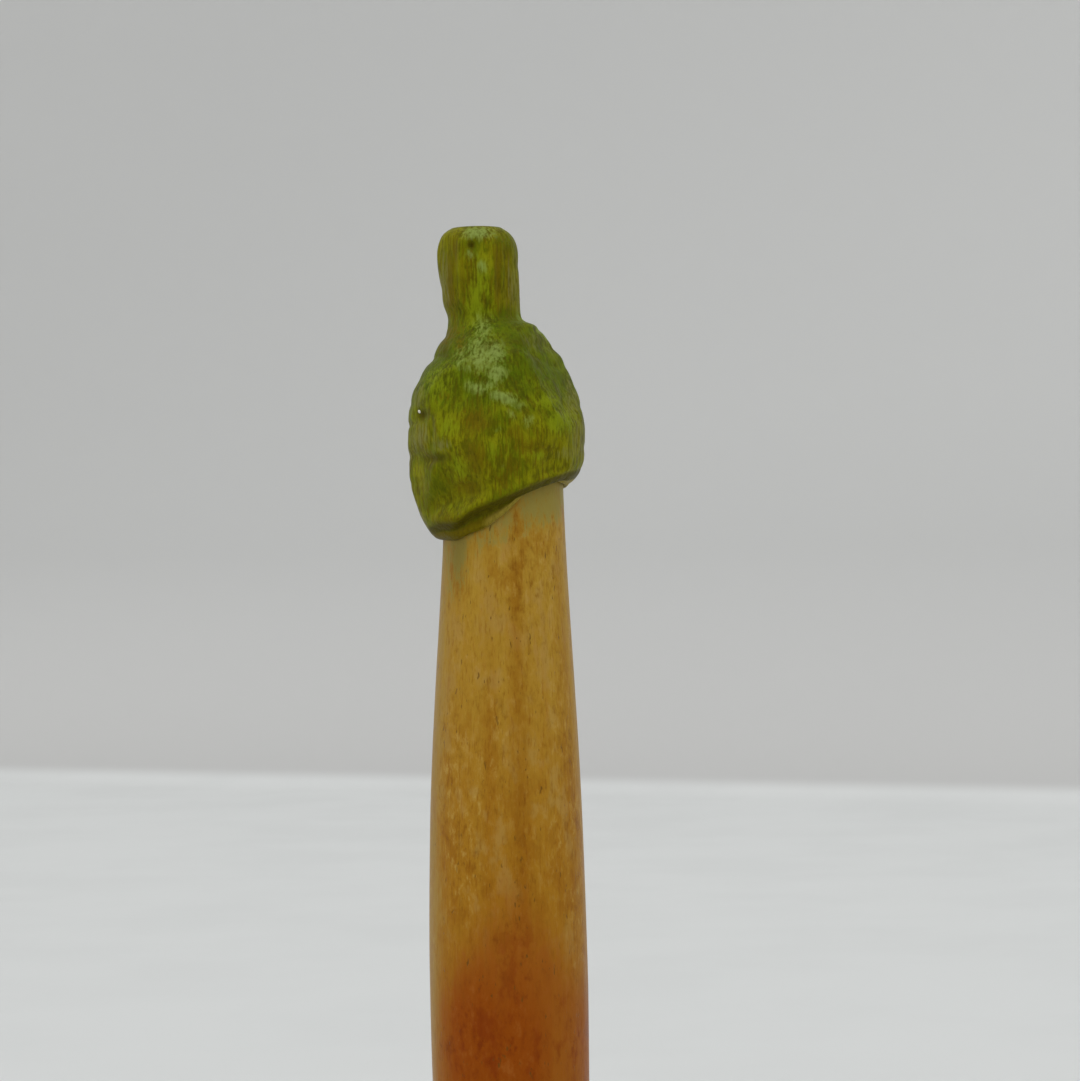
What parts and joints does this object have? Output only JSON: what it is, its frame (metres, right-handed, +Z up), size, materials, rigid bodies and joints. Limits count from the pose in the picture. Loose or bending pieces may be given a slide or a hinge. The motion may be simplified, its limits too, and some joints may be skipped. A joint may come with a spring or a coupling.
{
  "type": "stick bobber float",
  "caption": "Slim wooden fishing float with a carved green head, stained body, cane stem, swinging line ring, sliding sleeves and a flat brass keel.",
  "frame": {"origin": "centre of the keel's flat foot, on the surface it stands on", "axes": "+Z up along the stem to the head; +X towards the side eye and the high side of the head's slanted rim; -Y is the front"},
  "size_m": [0.0146, 0.014, 0.15],
  "materials": {
    "head_wood": "green stain over carved grain, satin",
    "body_wood": "honey stain turning red-brown lower down, satin",
    "cane": "varnished cane",
    "brass": "turned, slightly dulled",
    "lead": "dull grey",
    "red_rubber": "matt",
    "thread": "waxed thread"
  },
  "bodies": {
    "float": {"carved_head": "head_wood", "head_pin": "brass", "float_body": "body_wood", "centre_stem": "cane", "body_ferrule": "brass", "ballast_ring": "lead", "whipping_upper": "thread", "eye_band": "brass", "whipping_lower": "thread", "keel_weight": "brass", "keel_pin": "brass"},
    "sleeve_upper": {"sleeve_upper": "red_rubber"},
    "sleeve_lower": {"sleeve_lower": "red_rubber"},
    "line_ring": {"line_ring": "brass"}
  },
  "joints": [
    {"name": "sleeve_upper_slide", "type": "slide", "parent": "float", "child": "sleeve_upper", "axis": [0, 0, 1], "range_m": [-0.0062, 0.0006]},
    {"name": "sleeve_lower_slide", "type": "slide", "parent": "float", "child": "sleeve_lower", "axis": [0, 0, 1], "range_m": [-0.0001, 0.0023]},
    {"name": "line_ring_swing", "type": "hinge", "parent": "float", "child": "line_ring", "pos_m": [0.0045, 0, 0.0188], "axis": [1, 0, 0], "range_deg": [-70, 70]}
  ]
}
